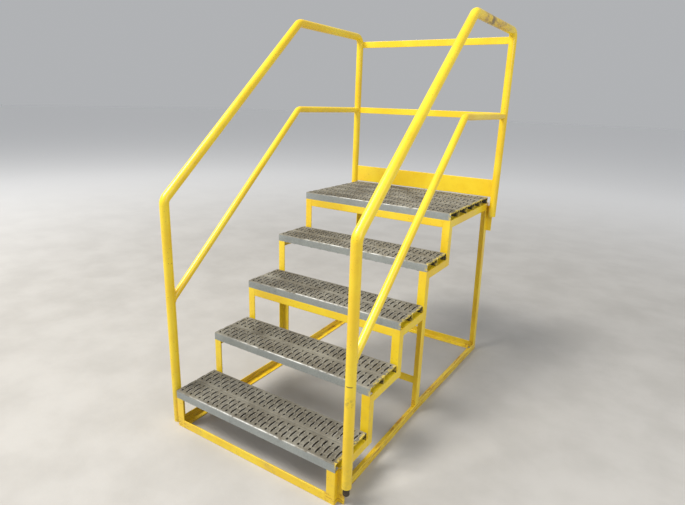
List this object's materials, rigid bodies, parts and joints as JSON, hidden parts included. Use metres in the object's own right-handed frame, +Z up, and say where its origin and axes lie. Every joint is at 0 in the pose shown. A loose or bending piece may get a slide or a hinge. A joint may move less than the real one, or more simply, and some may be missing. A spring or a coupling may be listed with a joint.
{
  "type": "metal staircase",
  "caption": "Free-standing yellow steel staircase with four grip-plank treads, a top platform, bent pipe handrails and mid-rails on both sides, and a toe board at the back.",
  "frame": {"origin": "on the floor under the middle of the frame", "axes": "+Z up, +Y the way the stair climbs, +X to the climber's right"},
  "size_m": [1.013, 1.6602, 1.9461],
  "materials": {
    "yellow_paint": "gloss safety yellow, scuffed",
    "black_rubber": "matt, dusty, scuffed",
    "galvanised_grating": "weathered galvanised steel, dusty"
  },
  "bodies": {
    "root": {"back_mid_bar": "yellow_paint", "back_standoffs": "yellow_paint", "back_top_bar": "yellow_paint", "base_front_bar": "yellow_paint", "base_left_rail": "yellow_paint", "base_rear_bar": "yellow_paint", "base_right_rail": "yellow_paint", "front_left_post": "yellow_paint", "front_right_post": "yellow_paint", "front_standoffs": "yellow_paint", "left_handrail": "yellow_paint", "left_midrail": "yellow_paint", "low_tie": "yellow_paint", "mid_left_leg": "yellow_paint", "mid_right_leg": "yellow_paint", "platform_deck": "galvanised_grating", "platform_front_bar": "yellow_paint", "platform_left_angle": "yellow_paint", "platform_rear_bar": "yellow_paint", "platform_right_angle": "yellow_paint", "rear_left_leg": "yellow_paint", "rear_right_leg": "yellow_paint", "right_foot_plug": "black_rubber", "right_handrail": "yellow_paint", "right_midrail": "yellow_paint", "riser_1_left": "yellow_paint", "riser_1_right": "yellow_paint", "riser_2_left": "yellow_paint", "riser_2_right": "yellow_paint", "riser_3_left": "yellow_paint", "riser_3_right": "yellow_paint", "riser_4_left": "yellow_paint", "riser_4_right": "yellow_paint", "toe_board": "yellow_paint", "tread_1": "galvanised_grating", "tread_1_left_angle": "yellow_paint", "tread_1_right_angle": "yellow_paint", "tread_2": "galvanised_grating", "tread_2_left_angle": "yellow_paint", "tread_2_right_angle": "yellow_paint", "tread_3": "galvanised_grating", "tread_3_front_bar": "yellow_paint", "tread_3_left_angle": "yellow_paint", "tread_3_right_angle": "yellow_paint", "tread_4": "galvanised_grating", "tread_4_left_angle": "yellow_paint", "tread_4_right_angle": "yellow_paint"}
  },
  "joints": []
}
